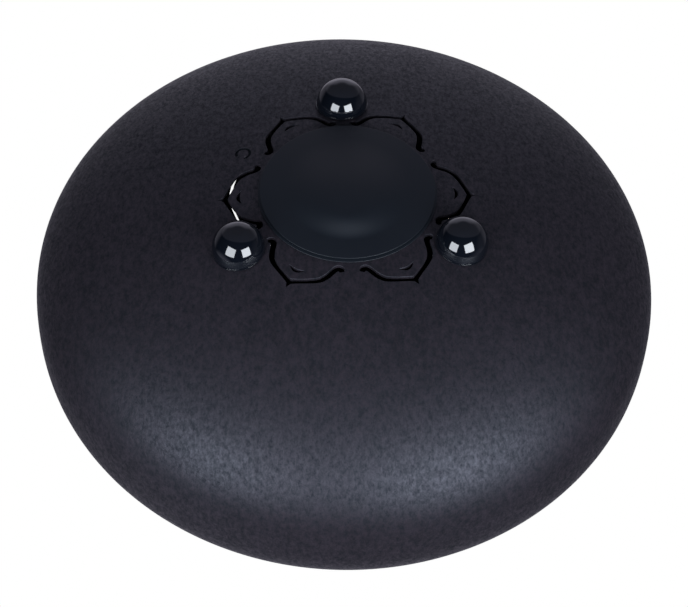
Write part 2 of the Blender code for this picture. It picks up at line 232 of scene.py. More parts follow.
MARK_CENTRE = polar(MARK_CIRCLE, MARK_ANGLE)


def new_material(name):
    """An empty material with its tree and the object's own coordinates."""
    material = bpy.data.materials.new(name)
    material.use_nodes = True
    tree = material.node_tree
    tree.nodes.clear()
    return material, tree, add_node(tree, "ShaderNodeTexCoord", out="Object")


def noise(tree, place, scale, detail=2.0, roughness=0.5):
    """A noise value round 0.5 over a place."""
    return add_node(tree, "ShaderNodeTexNoise", None, {
        "Vector": place, "Scale": scale, "Detail": detail, "Roughness": roughness,
    })


def between(tree, factor, first, second):
    """A colour between two, by a factor."""
    return add_node(tree, "ShaderNodeMix", {"data_type": "RGBA"}, {0: factor, 6: first, 7: second}, out=2)


def ring_paint(tree, place):
    """One on the line of the ring mark and nothing elsewhere."""
    x, y, z = parts_of(tree, place)
    x = x - MARK_CENTRE[0]
    y = y - MARK_CENTRE[1]
    radius = (x * x + y * y).root()
    on_line = (radius > MARK_RADIUS - MARK_LINE) - (radius > MARK_RADIUS)
    toward_gap = x * math.cos(MARK_GAP_ANGLE) + y * math.sin(MARK_GAP_ANGLE)
    clear_of_gap = radius * math.cos(MARK_GAP / 2) > toward_gap
    return on_line * clear_of_gap * (1 - (z > EQUATOR_Z))


def powder_coat():
    """Satin anthracite powder coat over steel."""
    material, tree, place = new_material("satin_powder_coat")
    stretched = add_node(tree, "ShaderNodeVectorMath", {"operation": "MULTIPLY"}, {
        0: place, 1: SPECKLE_STRETCH,
    })
    drift = noise(tree, place, DRIFT_SCALE)
    mottle = noise(tree, stretched, MOTTLE_SCALE)
    speckle = noise(tree, stretched, SPECKLE_SCALE, SPECKLE_DETAIL, SPECKLE_CRISPNESS)
    paint = ring_paint(tree, place)
    blend = drift * DRIFT_SHADE + mottle * MOTTLE_SHADE + speckle * SPECKLE_SHADE - SHADE_LEVEL
    shade = between(tree, blend.clamped(), COAT_DARK, COAT_LIGHT)
    roughness = drift * DRIFT_ROUGHNESS - speckle * SPECKLE_GLOSS + paint * PAINT_ROUGHNESS + COAT_ROUGHNESS
    clear = (speckle - 0.5 + CLEAR_LAYER).clamped()
    bump = add_node(tree, "ShaderNodeBump", None, {
        "Strength": 1.0, "Distance": SPECKLE_DEPTH, "Height": speckle,
    })
    shader = add_node(tree, "ShaderNodeBsdfPrincipled", None, {
        "Base Color": between(tree, paint, shade, PAINT_BLACK), "Roughness": roughness, "Normal": bump,
        "Specular IOR Level": COAT_SHINE, "Specular Tint": COAT_TINT,
        "Coat Weight": clear * (1 - paint), "Coat Roughness": CLEAR_ROUGHNESS,
    })
    add_node(tree, "ShaderNodeOutputMaterial", None, {"Surface": shader})
    return material


satin_coat = powder_coat()
print("powder coat", satin_coat.name)

# %% [markdown]
# The pad is a moulded rubber disc with a fine matt texture. The feet are a harder, polished rubber, so
# their domes mirror the lamps. The adhesive is a pale foam tape, hidden under the pad. One function makes
# all three, because they differ only in their colours, their gloss and the size of their pebbles.

# %% Rubber and tape
WHITE = (1, 1, 1, 1)
RUBBER_DRIFT_SCALE = 60.0
RUBBER_DRIFT_ROUGHNESS = 0.05
PEBBLE_STRENGTH = 0.4


def rubber(name, dark, light, roughness, pebble_scale, pebble_depth, ior=1.5, shine=0.5, tint=WHITE):
    """Moulded rubber: two close colours that drift, and a pebbled or polished skin."""
    material, tree, place = new_material(name)
    drift = noise(tree, place, RUBBER_DRIFT_SCALE)
    bump = add_node(tree, "ShaderNodeBump", None, {
        "Strength": PEBBLE_STRENGTH, "Distance": pebble_depth, "Height": noise(tree, place, pebble_scale),
    })
    shader = add_node(tree, "ShaderNodeBsdfPrincipled", None, {
        "Base Color": between(tree, drift, dark, light), "Normal": bump,
        "Roughness": drift * RUBBER_DRIFT_ROUGHNESS + roughness,
        "IOR": ior, "Specular IOR Level": shine, "Specular Tint": tint,
    })
    add_node(tree, "ShaderNodeOutputMaterial", None, {"Surface": shader})
    return material


pad_skin = rubber("moulded_pad_rubber", dark=(0.0032, 0.0064, 0.0116, 1), light=(0.0042, 0.0078, 0.0140, 1),
                  roughness=0.49, pebble_scale=1400.0, pebble_depth=0.00003, shine=0.60,
                  tint=(0.80, 0.86, 1, 1))
foot_skin = rubber("polished_foot_rubber", dark=(0.0034, 0.0050, 0.0090, 1),
                   light=(0.0046, 0.0064, 0.0112, 1), roughness=0.03, pebble_scale=300.0,
                   pebble_depth=0.000004, ior=1.8, shine=0.64, tint=(0.88, 0.93, 1, 1))
foam_tape = rubber("foam_tape", dark=(0.45, 0.44, 0.40, 1), light=(0.60, 0.58, 0.52, 1),
                   roughness=0.55, pebble_scale=900.0, pebble_depth=0.00004)
print("rubber and tape made")

# %% [markdown]
# Each shell is pressed from sheet steel into one smooth dome. Its section is a superellipse: the side
# power makes the shoulder full, and the crown power keeps the rim upright. A small spherical cap takes
# over at the crown, where the formula alone would come to a point. The formula gives the height and the
# slope at any radius, and every piece that sits on a shell asks it for its place.

# %% The dome's rule
SIDE_POWER = 1.63
CROWN_POWER = 2.65
CAP_RADIUS = 0.024
WALL = 0.0018
WELD_HALF_WIDTH = 0.0016
BOTTOM_HEIGHT = 0.0754
TOP_HEIGHT = 0.0746


def dome_point(radius, height):
    """Height above the equator and slope of a dome's outer skin at a radius."""
    if radius < CAP_RADIUS:
        sphere, centre = cap_sphere(height)
        slope = math.asin(radius / sphere)
        return centre + sphere * math.cos(slope), slope
    share = min(radius / DRUM_RADIUS, 1.0)
    rise = height * (1 - share ** SIDE_POWER) ** (1 / CROWN_POWER)
    lean = SIDE_POWER / DRUM_RADIUS * share ** (SIDE_POWER - 1)
    stand = CROWN_POWER / height * (rise / height) ** (CROWN_POWER - 1)
    return rise, math.atan2(lean, stand)


def cap_sphere(height):
    """Radius of the crown's spherical cap and the height of its centre."""
    rise, slope = dome_point(CAP_RADIUS, height)
    sphere = CAP_RADIUS / math.sin(slope)
    return sphere, rise - sphere * math.cos(slope)


def radius_at(rise, height):
    """Radius at which a dome is this high above the equator."""
    return DRUM_RADIUS * (1 - (rise / height) ** CROWN_POWER) ** (1 / SIDE_POWER)


def skin_point(radius, height, distance):
    """Radius and height of the point at a distance outside a dome's skin, square to it."""
    rise, slope = dome_point(radius, height)
    return radius + distance * math.sin(slope), rise + distance * math.cos(slope)


print("crown's sphere", round(1000 * cap_sphere(BOTTOM_HEIGHT)[0], 1), "mm")

# %% [markdown]
# A laser cuts the lotus: each of the six petals is one narrow slot that runs from a hook beside the pad
# to the petal's tip and back to the other hook, with a small crescent inside. Half a petal is drawn by a
# few points, smoothed by a curve through them, mirrored, and given a width that swells and narrows.

# %% Petals
PAD_RADIUS = 0.0414
PETAL_COUNT = 6
PETAL_HEIGHT = 0.0160
PETAL_SLOT_WIDTH = 0.0028
PETAL_SPIKE = 0.0018
PETAL_CURVE_STEPS = 5
CORNER_ROOM = 0.0004
CRESCENT_MIDDLE = PAD_RADIUS + 0.60 * PETAL_HEIGHT
CRESCENT_HALF_LENGTH = 0.0039
CRESCENT_THICKNESS = 0.0016
CRESCENT_BOW = 0.0016
CRESCENT_STEPS = 6

# Half a petal from its hook to its tip: share of the half pitch, share of the petal's height, width share
PETAL_SHAPE = (
    (0.812, 0.320, 0.75),
    (0.792, 0.244, 1.05),
    (0.735, 0.213, 1.05),
    (0.672, 0.270, 0.95),
    (0.573, 0.477, 0.95),
    (0.460, 0.655, 0.90),
    (0.305, 0.767, 0.78),
    (0.130, 0.882, 0.74),
    (0.000, 0.985, 0.90),
)


def turned(point, angle):
    """A point (x, y) turned about the drum's axis."""
    x, y = point
    return x * math.cos(angle) - y * math.sin(angle), x * math.sin(angle) + y * math.cos(angle)


def smooth_curve(points, steps):
    """Catmull-Rom curve through points of any dimension, with this many steps in each span."""
    ends = [points[0], *points, points[-1]]
    curve = []
    for before, start, end, after in zip(ends, ends[1:], ends[2:], ends[3:]):
        for step in range(steps):
            t = step / steps
            curve.append(tuple(
                0.5 * (2 * b + (c - a) * t + (2 * a - 5 * b + 4 * c - d) * t ** 2
                       + (3 * b - a - 3 * c + d) * t ** 3)
                for a, b, c, d in zip(before, start, end, after)
            ))
    curve.append(tuple(points[-1]))
    return curve


def petal_outline(angle):
    """Slot round one petal whose tip points along the angle, from hook to hook."""
    half = []
    for turn_share, height_share, width_share in PETAL_SHAPE:
        radius = PAD_RADIUS + height_share * PETAL_HEIGHT
        turn = turn_share * math.pi / PETAL_COUNT
        half.append((*polar(radius, turn), width_share))
    path = smooth_curve(half, PETAL_CURVE_STEPS)
    path.append((path[-1][0], -path[-2][1], path[-1][2]))
    outer = []
    inner = []
    for back, (x, y, share), ahead in zip(path[:1] + path, path[:-1], path[1:]):
        along = Vector((ahead[0] - back[0], ahead[1] - back[1])).normalized()
        width = share * PETAL_SLOT_WIDTH / 2
        outer.append(Vector((x - along.y * width, y + along.x * width)))
        inner.append(Vector((x + along.y * width, y - along.x * width)))
    # The two inner sides meet in a corner on the petal's middle line, and the outer ones in a spike
    inner = [point for point in inner if point.y > CORNER_ROOM]
    side = inner[-1] - inner[-2]
    inner.append(inner[-1] - side * inner[-1].y / side.y)
    outer[-1] = Vector((outer[-1].x + PETAL_SPIKE, 0.0))
    half = inner[::-1] + outer
    return [turned(point, angle) for point in half + [(x, -y) for x, y in half[-2:0:-1]]]


def crescent_outline(angle):
    """Crescent slit across one petal, pointed at both ends and bowed towards the tip."""
    outer = []
    inner = []
    for i in range(-CRESCENT_STEPS, CRESCENT_STEPS + 1):
        share = i / CRESCENT_STEPS
        bow = 1 - share ** 2
        middle = CRESCENT_MIDDLE - CRESCENT_BOW + CRESCENT_BOW * bow
        outer.append((middle + CRESCENT_THICKNESS / 2 * bow, share * CRESCENT_HALF_LENGTH))
        inner.append((middle - CRESCENT_THICKNESS / 2 * bow, share * CRESCENT_HALF_LENGTH))
    return [turned(point, angle) for point in outer + inner[-2:0:-1]]


petal_turns = [2 * math.pi * i / PETAL_COUNT for i in range(PETAL_COUNT)]
lotus = [outline(turn) for turn in petal_turns for outline in (petal_outline, crescent_outline)]
print("lotus of", len(lotus), "slots")

# %% [markdown]
# On the playing side a slot round each tongue leaves it free at its round outer end. A tongue's note goes
# as one over the square of its length, so the lengths follow the scale. At the root each side of the slot
# ends in a round relief hole, which keeps the steel from cracking there.

# %% Tongues
SEMITONES = 12
TONGUE_STEPS = (0, 2, 4, 5, 7, 9, 11, 12, 14)
TONGUE_FIRST_ANGLE = math.radians(270.4)
TONGUE_SLOT_WIDTH = 0.0014
TONGUE_TIP_CIRCLE = DRUM_RADIUS - 0.0222
TONGUE_RING_WIDTH = 0.0115
TONGUE_END_RADIUS = 0.0224
TONGUE_TAPER = math.radians(6)
INNER_TONGUE_STEPS = (16, 17, 19)
INNER_TONGUE_FIRST_ANGLE = math.radians(90)
INNER_TONGUE_TIP_CIRCLE = 0.0505
INNER_TONGUE_ROOT_CIRCLE = 0.0110
INNER_TONGUE_END_RADIUS = 0.0135
INNER_TONGUE_TAPER = math.radians(5)
RELIEF_RADIUS = 0.0019
TONGUE_ARC_STEPS = 36
RELIEF_STEPS = 14


def arc_points(centre, radius, start, end, steps):
    """Points along an arc, ends included."""
    points = []
    for step in range(steps + 1):
        x, y = polar(radius, start + (end - start) * step / steps)
        points.append((centre[0] + x, centre[1] + y))
    return points


def tongue_outline(angle, tip_radius, root_radius, end_radius, taper):
    """Slot round one tongue: two sides that close towards the root, joined by the round free end."""
    centre = (tip_radius - end_radius, 0.0)
    side_turn = math.pi / 2 + taper
    half_slot = TONGUE_SLOT_WIDTH / 2
    start = Vector(centre) + end_radius * Vector((math.cos(side_turn), math.sin(side_turn)))
    side_length = (start.x - root_radius) / math.cos(taper)
    root = (root_radius, start.y - side_length * math.sin(taper))
    # The relief hole at the root opens to the slot over this half angle
    mouth = math.asin(half_slot / RELIEF_RADIUS)
    outer = arc_points(centre, end_radius + half_slot, -side_turn, side_turn, TONGUE_ARC_STEPS)
    inner = arc_points(centre, end_radius - half_slot, side_turn, -side_turn, TONGUE_ARC_STEPS)
    relief = arc_points(root, RELIEF_RADIUS, taper + mouth, taper + 2 * math.pi - mouth, RELIEF_STEPS)
    mirrored = [(x, -y) for x, y in relief[::-1]]
    return [turned(point, angle) for point in outer + relief + inner + mirrored]


def tongue_group(steps, first_angle, tip, longest, end_radius, taper):
    """Slots of a group of tongues: the lowest at the first angle, the rest to each side in turn."""
    outlines = []
    pitch = 2 * math.pi / len(steps)
    for i, step in enumerate(steps):
        share = 2 ** (-(step - steps[0]) / (2 * SEMITONES))
        angle = first_angle + (-1) ** (i + 1) * ((i + 1) // 2) * pitch
        width = end_radius * math.sqrt(share)
        outlines.append(tongue_outline(angle, tip, tip - longest * share, width, taper))
    return outlines


outer_length = TONGUE_TIP_CIRCLE - INNER_TONGUE_TIP_CIRCLE - TONGUE_RING_WIDTH
inner_length = INNER_TONGUE_TIP_CIRCLE - INNER_TONGUE_ROOT_CIRCLE
tongues = tongue_group(TONGUE_STEPS, TONGUE_FIRST_ANGLE, TONGUE_TIP_CIRCLE, outer_length,
                       TONGUE_END_RADIUS, TONGUE_TAPER)
tongues += tongue_group(INNER_TONGUE_STEPS, INNER_TONGUE_FIRST_ANGLE, INNER_TONGUE_TIP_CIRCLE, inner_length,
                        INNER_TONGUE_END_RADIUS, INNER_TONGUE_TAPER)
print("slots of", len(tongues), "tongues")

# %% [markdown]
# Powder draws back from a sharp corner and gathers just beside it, so every cut has a small round edge. An
# outline is first divided into even sides. At each of its points a mitre tells which way the cut widens.
# The wall is then a section that runs from the skin round the edge and down: through the sheet for a slot,
# and down to a floor for an engraved mark.

# %% Edges of the cuts
EDGE_ROUND = 0.00025
EDGE_STEPS = 3
LONGEST_SIDE = 0.0022
SHORTEST_SIDE = 0.0002
MITRE_LIMIT = 2.2
LEAST_OPENING = 0.1
MARK_DEPTH = 0.0006
MARK_ROUND = 0.00012


def divided(outline):
    """The closed outline without tiny sides and with its long ones divided, turning left."""
    corners = [Vector(outline[0])]
    for corner in outline[1:]:
        if (Vector(corner) - corners[-1]).length > SHORTEST_SIDE:
            corners.append(Vector(corner))
    points = []
    for start, end in zip(corners, corners[1:] + corners[:1]):
        parts = math.ceil((end - start).length / LONGEST_SIDE)
        points.extend(start.lerp(end, i / parts) for i in range(parts))
    area = sum(a.cross(b) for a, b in zip(points, points[1:] + points[:1]))
    return points if area > 0 else points[::-1]


def outward(points):
    """At each point of a closed outline that turns left, the mitre that moves its sides out by one."""
    mitres = []
    for before, point, after in zip(points[-1:] + points[:-1], points, points[1:] + points[:1]):
        first = (point - before).normalized()
        second = (after - point).normalized()
        normal_one = Vector((first.y, -first.x))
        normal_two = Vector((second.y, -second.x))
        mitre = (normal_one + normal_two) / max(1 + normal_one.dot(normal_two), LEAST_OPENING)
        if mitre.length > MITRE_LIMIT:
            mitre = mitre.normalized() * MITRE_LIMIT
        mitres.append(mitre)
    return mitres


def edge_arc(size):
    """Round edge between skin and wall: how far it spreads, its depth, and how far it has turned."""
    turns = [math.pi / 2 * i / EDGE_STEPS for i in range(EDGE_STEPS + 1)]
    return [(size * (1 - math.sin(turn)), size * (1 - math.cos(turn)), turn) for turn in turns]


def slot_section():
    """Section of a slot's wall, from skin to skin."""
    arc = edge_arc(EDGE_ROUND)
    return arc + [(spread, WALL - depth, math.pi - turn) for spread, depth, turn in arc[::-1]]


def mark_section():
    """Section of an engraved wall, from the skin down to the floor."""
    return edge_arc(MARK_ROUND) + [(0.0, MARK_DEPTH, math.pi / 4)]


print("edge rounds", 1000 * EDGE_ROUND, "and", 1000 * MARK_ROUND, "mm")

# %% [markdown]
# The cut sheet is made flat first, as a blank. A Delaunay triangulation fills the plate between the slots
# with even triangles, which a Boolean can't do, and a strip of faces makes the wall of each slot. Steep
# rings go on from the plate to the weld. Each vertex also keeps the direction that its surface faces, so
# that it can be shaded without any facets.

# %% Flat blank
BLANK_RINGS = 48
RING_SIDES = 6
BLANK_RADIUS = 0.1325
RIM_RINGS = 18
CLEAR_OF_SLOT = 0.0011
SAME_POINT = 1e-9


def circle_points(centre, radius, sides):
    """Points round a circle, from the one along X."""
    return arc_points(centre, radius, 0, 2 * math.pi, sides)[:-1]


class Blank:
    """Flat plate in the making: vertices (x, y, -depth), the way each one faces, and faces."""

    def __init__(self):
        self.places = []
        self.facing = []
        self.faces = []
        self.marks = set()

    def vertex(self, point, depth, facing):
        """Adds a vertex and gives its number."""
        self.places.append((point[0], point[1], -depth))
        self.facing.append(facing)
        return len(self.places) - 1

    def both_skins(self, point):
        """Adds a point to the upper and the lower skin and gives both numbers."""
        return self.vertex(point, 0.0, (0, 0, 1)), self.vertex(point, WALL, (0, 0, -1))

    def strip(self, first, second):
        """Adds faces between two closed rows of as many vertices."""
        for i, j in zip(range(len(first)), [*range(1, len(first)), 0]):
            self.faces.append((first[i], first[j], second[j], second[i]))

    def wall(self, points, section):
        """Adds the wall of a cut; gives the plan of its edge on the skin and its rows from there down."""
        mitres = outward(points)
        rows = []
        for spread, depth, turn in section:
            row = []
            for point, mitre in zip(points, mitres):
                inward = -mitre.normalized() * math.sin(turn)
                row.append(self.vertex(point + mitre * spread, depth, (*inward, math.cos(turn))))
            rows.append(row)
        for upper, lower in zip(rows, rows[1:]):
            self.strip(upper, lower)
        plan = [point + mitre * section[0][0] for point, mitre in zip(points, mitres)]
        return plan, rows

    def slot(self, outline):
        """Cuts a slot; gives the plan of its edge on the skin and that edge's rows on both skins."""
        plan, rows = self.wall(divided(outline), slot_section())
        return plan, rows[0], rows[-1]

    def mark(self, outline, number):
        """Engraves a line given as its two sides, there and back; gives the same as a slot does."""
        self.marks.add(number)
        plan, rows = self.wall([Vector(point) for point in outline], mark_section())
        half = len(outline) // 2
        there = rows[-1][:half]
        back = rows[-1][:half - 1:-1]
        for i in range(half - 1):
            self.faces.append((there[i], there[i + 1], back[i + 1], back[i]))
        return plan, rows[0], [self.vertex(point, WALL, (0, 0, -1)) for point in plan]

    def skins(self, edges):
        """Fills both skins between the cuts' edges and the last ring, and gives that ring's rows."""
        plan = []
        upper = []
        lower = []
        holes = []
        for points, top_row, low_row in edges:
            holes.append(list(range(len(plan), len(plan) + len(points))))
            plan.extend(points)
            upper.extend(top_row)
            lower.extend(low_row)
        near = kdtree.KDTree(len(plan))
        for i, point in enumerate(plan):
            near.insert(point.to_3d(), i)
        near.balance()
        for ring in range(BLANK_RINGS + 1):
            radius = BLANK_RADIUS * ring / BLANK_RINGS
            for spot in circle_points((0, 0), radius, max(RING_SIDES * ring, 1)):
                point = Vector(spot)
                if near.find(point.to_3d())[2] > CLEAR_OF_SLOT:
                    top, low = self.both_skins(point)
                    plan.append(point)
                    upper.append(top)
                    lower.append(low)
        found = geometry.delaunay_2d_cdt(plan, [], holes, 0, SAME_POINT, True)
        same = [originals[0] for originals in found[3]]
        for face, inside in zip(found[2], found[5]):
            if not inside:
                self.faces.append(tuple(upper[same[i]] for i in face))
            if not inside or inside[0] in self.marks:
                self.faces.append(tuple(lower[same[i]] for i in reversed(face)))
        last = RING_SIDES * BLANK_RINGS
        return upper[-last:], lower[-last:]

    def rim(self, upper, lower, height):
        """Adds the steep rings between the blank's last ring and the weld, closed by the sheet's edge."""
        start = math.acos((dome_point(BLANK_RADIUS, height)[0] / height) ** (CROWN_POWER / 2))
        end = math.acos((WELD_HALF_WIDTH / height) ** (CROWN_POWER / 2))
        for ring in range(1, RIM_RINGS + 1):
            turn = start + (end - start) * ring / RIM_RINGS
            radius = DRUM_RADIUS * math.sin(turn) ** (2 / SIDE_POWER)
            points = circle_points((0, 0), radius, len(upper))
            outer, inner = zip(*[self.both_skins(point) for point in points])
            self.strip(outer, upper)
            self.strip(lower, inner)
            upper = outer
            lower = inner
        self.strip(lower, upper)

    def thing(self, name):
        """The blank as an object."""
        mesh = bpy.data.meshes.new(name)
        mesh.from_pydata(self.places, [], self.faces)
        facing = mesh.attributes.new("facing", "FLOAT_VECTOR", "POINT")
        facing.data.foreach_set("vector", [value for vector in self.facing for value in vector])
        return placed(name, mesh)


def cut_blank(name, outlines, marks, height):
    """Flat blank with its slots cut and its marks engraved."""
    blank = Blank()
    edges = [blank.slot(outline) for outline in outlines]
    for mark in marks:
        edges.append(blank.mark(mark, len(edges)))
    blank.rim(*blank.skins(edges), height)
    return blank.thing(name)


print("blank of", BLANK_RINGS + RIM_RINGS, "rings")

# %% [markdown]
# Two shapes here follow a rule, so Geometry Nodes make them: the press and the setting of a foot. Each tree
# has named inputs for its sizes, and ends in plain geometry with its finish. The modifier is then turned
# into a plain mesh, which stands in for the solid of the same piece.

# %% Trees and finished pieces
def new_tree(name, sizes):
    """Geometry Nodes tree with named inputs, and those inputs as Flows."""
    tree = bpy.data.node_groups.new(name, "GeometryNodeTree")
    tree.is_modifier = True
    tree.interface.new_socket("Geometry", in_out="INPUT", socket_type="NodeSocketGeometry")
    for size in sizes:
        tree.interface.new_socket(size, in_out="INPUT", socket_type="NodeSocketFloat")
    tree.interface.new_socket("Finish", in_out="INPUT", socket_type="NodeSocketMaterial")
    tree.interface.new_socket("Geometry", in_out="OUTPUT", socket_type="NodeSocketGeometry")
    group = tree.nodes.new("NodeGroupInput")
    return tree, {socket.name: Flow(tree, socket) for socket in group.outputs if socket.name}


def close_tree(tree, shape, finish):
    """Ends a tree in plain geometry with its finish."""
    shape = add_node(tree, "GeometryNodeRealizeInstances", None, {"Geometry": shape})
    shape = add_node(tree, "GeometryNodeSetMaterial", None, {"Geometry": shape, "Material": finish})
    add_node(tree, "NodeGroupOutput", None, {0: shape})
    return tree


def run_tree(thing, tree, values):
    """Runs a tree on an object, its named inputs set by their identifiers, and keeps the plain mesh."""
    modifier = thing.modifiers.new(tree.name, "NODES")
    modifier.node_group = tree
    for item in tree.interface.items_tree:
        if item.in_out == "INPUT" and item.name in values:
            modifier[item.identifier] = values[item.name]
    bpy.context.view_layer.update()
    evaluated = thing.evaluated_get(bpy.context.evaluated_depsgraph_get())
    mesh = bpy.data.meshes.new_from_object(evaluated)
    thing.modifiers.clear()
    thing.data = mesh
    mesh.name = thing.name
    return mesh


def triangles(mesh):
    """Number of triangles of a mesh."""
    return sum(len(face.vertices) - 2 for face in mesh.polygons)


def hand_over(piece, node):
    """Lets a finished piece ride on the drum's body in place of its solid."""
    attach(piece, "root")
    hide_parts(node)
    print(piece.name, triangles(piece.data), "triangles")


# %% [markdown]
# The press reads each point of a flat blank, finds the height and the slope of the dome at its radius, and
# moves it there. Its depth in the sheet is laid off along the drum's axis where slots were cut, because the
# laser cuts straight down, and square to the sheet on the steep rim. The tree also turns the way that each
# point faces, and stores it for the shading.

# %% Press
UPRIGHT_CUT_RADIUS = 0.131
SQUARE_RADIUS = 0.143
LEAST_RADIUS = 1e-9
LEAST_STAND = 0.05
PRESS_SIZES = ("Rim Radius", "Height", "Side Power", "Crown Power", "Cap Radius", "Cap Sphere", "Cap Centre",
               "Upright Radius", "Square Radius", "Equator", "Up")


def press_tree():
    """Geometry Nodes that press a flat blank into a dome."""
    tree, size = new_tree("press", PRESS_SIZES)
    x, y, z = parts_of(tree, add_node(tree, "GeometryNodeInputPosition"))
    radius = (x * x + y * y).root()
    depth = -1 * z
    east = x / radius.at_least(LEAST_RADIUS)
    north = y / radius.at_least(LEAST_RADIUS)
    share = (radius / size["Rim Radius"]).at_most(1.0)
    rise = size["Height"] * (1 - share ** size["Side Power"]).at_least(0.0) ** (1 / size["Crown Power"])
    lean = size["Side Power"] / size["Rim Radius"] * share ** (size["Side Power"] - 1)
    stand = size["Crown Power"] / size["Height"] * (rise / size["Height"]) ** (size["Crown Power"] - 1)
    length = (lean * lean + stand * stand).root()
    on_cap = size["Cap Radius"] > radius
    cap_lean = radius / size["Cap Sphere"]
    cap_stand = (1 - cap_lean * cap_lean).at_least(0.0).root()
    lean = on_cap * cap_lean + (1 - on_cap) * lean / length
    stand = on_cap * cap_stand + (1 - on_cap) * stand / length
    rise = on_cap * (size["Cap Centre"] + size["Cap Sphere"] * cap_stand) + (1 - on_cap) * rise
    upright = 1 - radius.eased(size["Upright Radius"], size["Square Radius"])
    radius = radius - depth * lean * (1 - upright)
    rise = rise - depth * (stand * (1 - upright) + upright / stand.at_least(LEAST_STAND))
    place = joined(tree, radius * east, radius * north, size["Equator"] + size["Up"] * rise)
    flat = {"data_type": "FLOAT_VECTOR"}
    faces = parts_of(tree, add_node(tree, "GeometryNodeInputNamedAttribute", flat, {"Name": "facing"}))
    turned_face = joined(tree, faces[0] + faces[2] * lean * east, faces[1] + faces[2] * lean * north,
                         faces[2] * stand * size["Up"])
    kept = add_node(tree, "GeometryNodeStoreNamedAttribute", flat, {
        "Geometry": size["Geometry"], "Name": "facing", "Value": turned_face,
    })
    dome = add_node(tree, "GeometryNodeSetPosition", None, {"Geometry": kept, "Position": place})
    return close_tree(tree, dome, size["Finish"])


def shade_by_facing(mesh):
    """Turns the faces outwards and shades each vertex by the way it faces."""
    form = bmesh.new()
    form.from_mesh(mesh)
    bmesh.ops.recalc_face_normals(form, faces=form.faces)
    form.to_mesh(mesh)
    form.free()
    mesh.shade_smooth()
    facing = [item.vector.normalized() for item in mesh.attributes["facing"].data]
    mesh.attributes.remove(mesh.attributes["facing"])
    mesh.normals_split_custom_set_from_vertices(facing)


press = press_tree()
print("press of", len(press.nodes), "nodes")

# %% [markdown]
# Each shell is cut flat, pressed by its modifier, made a plain mesh and put in place of its solid. The holes
# for the feet are cut with the lotus. They hide under the feet, and only need to clear the necks. The line
# of the ring mark is engraved into the bottom shell only part of the way down.

# %% Pressed shells
MARK_STEPS = 36
FOOT_COUNT = 3
FOOT_FIRST_ANGLE = math.radians(90)
FOOT_RADIUS = 0.0122
FOOT_TO_PAD = 0.0053
FOOT_CIRCLE = PAD_RADIUS + FOOT_TO_PAD + FOOT_RADIUS
NECK_RADIUS = 0.0040
NECK_ROOM = 0.0003
HOLE_SIDES = 32
foot_turns = [FOOT_FIRST_ANGLE + 2 * math.pi * i / FOOT_COUNT for i in range(FOOT_COUNT)]


def pressed_shell(name, blank_outlines, marks, height, up, node):
    """A shell pressed from its cut blank, in place of the solid."""
    shell = cut_blank(name, blank_outlines, marks, height)
    sphere, centre = cap_sphere(height)
    mesh = run_tree(shell, press, {
        "Rim Radius": DRUM_RADIUS, "Height": height, "Side Power": SIDE_POWER, "Crown Power": CROWN_POWER,
        "Cap Radius": CAP_RADIUS, "Cap Sphere": sphere, "Cap Centre": centre, "Equator": EQUATOR_Z,
        "Upright Radius": UPRIGHT_CUT_RADIUS, "Square Radius": SQUARE_RADIUS, "Up": up,
        "Finish": satin_coat,
    })
    shade_by_facing(mesh)
    hand_over(shell, node)


def foot_hole(angle):
    """Round hole for a foot's neck."""
    return circle_points(polar(FOOT_CIRCLE, angle), NECK_RADIUS + NECK_ROOM, HOLE_SIDES)


def ring_mark():
    """Open ring beside the lotus, as its outer side there and its inner side back."""
    start = MARK_GAP_ANGLE + MARK_GAP / 2
    end = MARK_GAP_ANGLE + 2 * math.pi - MARK_GAP / 2
    outer = arc_points(MARK_CENTRE, MARK_RADIUS, start, end, MARK_STEPS)
    return outer + arc_points(MARK_CENTRE, MARK_RADIUS - MARK_LINE, end, start, MARK_STEPS)


pressed_shell("pressed_top_shell", tongues, [], TOP_HEIGHT, 1.0, "top_shell")
bottom_cuts = lotus + [foot_hole(turn) for turn in foot_turns]
pressed_shell("pressed_bottom_shell", bottom_cuts, [ring_mark()], BOTTOM_HEIGHT, -1.0, "bottom_shell")

# %% [markdown]
# The other round pieces are turned from half sections about an axis. A section is a list of points, each
# with its radius and height, and a corner is rounded by an arc, so no edge is left knife sharp.

# %% Turned pieces
ROUND_SEGMENTS = 192
MERGE_DISTANCE = 1e-6
SHARP_ANGLE = math.radians(35)
CORNER_STEPS = 4


def turned_mesh(name, section, segments, closed=False):
    """Closed mesh turned from a half section about the Z axis, with its faces outwards."""
    form = bmesh.new()
    verts = [form.verts.new((radius, 0.0, height)) for radius, height in section]
    edges = [form.edges.new(pair) for pair in zip(verts, verts[1:])]
    if closed:
        edges.append(form.edges.new((verts[-1], verts[0])))
    bmesh.ops.spin(form, geom=verts + edges, cent=(0, 0, 0), axis=(0, 0, 1), angle=2 * math.pi,
                   steps=segments, use_merge=True)
    bmesh.ops.remove_doubles(form, verts=form.verts, dist=MERGE_DISTANCE)
    bmesh.ops.dissolve_degenerate(form, edges=form.edges, dist=MERGE_DISTANCE)
    bmesh.ops.recalc_face_normals(form, faces=form.faces)
    mesh = bpy.data.meshes.new(name)
    form.to_mesh(mesh)
    form.free()
    mesh.shade_smooth()
    return mesh


def add_piece(name, mesh, finish, node):
    """A finished piece in place of its solid."""
    mesh.set_sharp_from_angle(angle=SHARP_ANGLE)
    mesh.materials.append(finish)
    hand_over(placed(name, mesh), node)


